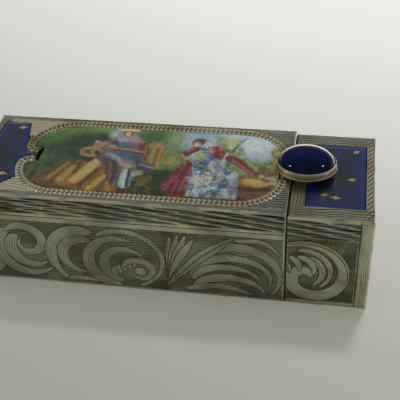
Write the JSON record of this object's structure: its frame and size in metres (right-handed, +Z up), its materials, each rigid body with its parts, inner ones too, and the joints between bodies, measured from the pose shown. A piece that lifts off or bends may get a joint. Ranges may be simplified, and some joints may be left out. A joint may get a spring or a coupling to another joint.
{
  "type": "lipstick case",
  "caption": "Square-section silver and enamel lipstick case: hinged mirror lid, domed stone thumbpiece and a pull-out end carrying a swivel lipstick.",
  "frame": {"origin": "middle of the bounding box on the base plane, hinge barrel included", "axes": "+X along the case towards the pull-out end section, +Z up out of the lid, -Y the front"},
  "size_m": [0.059, 0.0192, 0.0198],
  "materials": {
    "engraved_silver": "hand engraved silver, tarnished in the cuts, worn bright on the edges",
    "plain_silver": "plain silver, satin, lightly tarnished",
    "spring_steel": "spring strip",
    "gilt": "gilt silver, bright-cut, partly worn to silver",
    "gilt_brass": "polished gilt brass tube",
    "gold_foil": "gold foil spangles under the flux",
    "painted_enamel": "painted enamel under clear flux",
    "blue_enamel": "translucent cobalt enamel over engine turning",
    "cabochon": "polished dark blue stone",
    "mirror_glass": "silvered glass",
    "backing_card": "backing card",
    "lipstick": "waxy lipstick"
  },
  "bodies": {
    "case_body": {"body_shell": "engraved_silver", "deck_plate": "plain_silver", "snap_rim": "plain_silver", "body_hinge_leaf": "plain_silver", "hinge_pin": "plain_silver", "grip_spring": "spring_steel"},
    "lid": {"lid_shell": "engraved_silver", "lid_hinge_leaf": "plain_silver", "painted_plaque": "painted_enamel", "cartouche_border": "gilt", "blue_enamel_left": "blue_enamel", "gold_paillons_left": "gold_foil", "mirror_glass": "mirror_glass", "mirror_frame": "plain_silver", "mirror_backing": "backing_card", "thumb_tongue": "gilt", "bezel_cup": "gilt", "cabochon": "cabochon"},
    "end_section": {"end_shell": "engraved_silver", "end_plate": "plain_silver", "spigot_collar": "plain_silver", "blue_enamel_right": "blue_enamel", "gold_paillons_right": "gold_foil", "tube_base": "gilt_brass", "slotted_tube": "gilt_brass", "retaining_ring": "gilt_brass"},
    "swivel": {"spiral_sleeve": "gilt_brass", "cover_tube": "gilt_brass"},
    "carrier": {"carrier_cup": "gilt_brass", "lipstick_bullet": "lipstick"}
  },
  "joints": [
    {"name": "lid_hinge", "type": "hinge", "parent": "case_body", "child": "lid", "pos_m": [-0.02855, 0, 0.0127], "axis": [0, -1, 0], "range_deg": [0, 105]},
    {"name": "end_pull", "type": "slide", "parent": "case_body", "child": "end_section", "axis": [1, 0, 0], "range_m": [0, 0.045]},
    {"name": "swivel_turn", "type": "hinge", "parent": "end_section", "child": "swivel", "pos_m": [0, 0, 0.0065], "axis": [1, 0, 0], "range_deg": [0, 315]},
    {"name": "carrier_travel", "type": "slide", "parent": "end_section", "child": "carrier", "axis": [-1, 0, 0], "range_m": [0, 0.01225]}
  ],
  "couplings": [
    {"joint": "swivel_turn", "follows": "carrier_travel", "rad_per_m": 448.8}
  ]
}
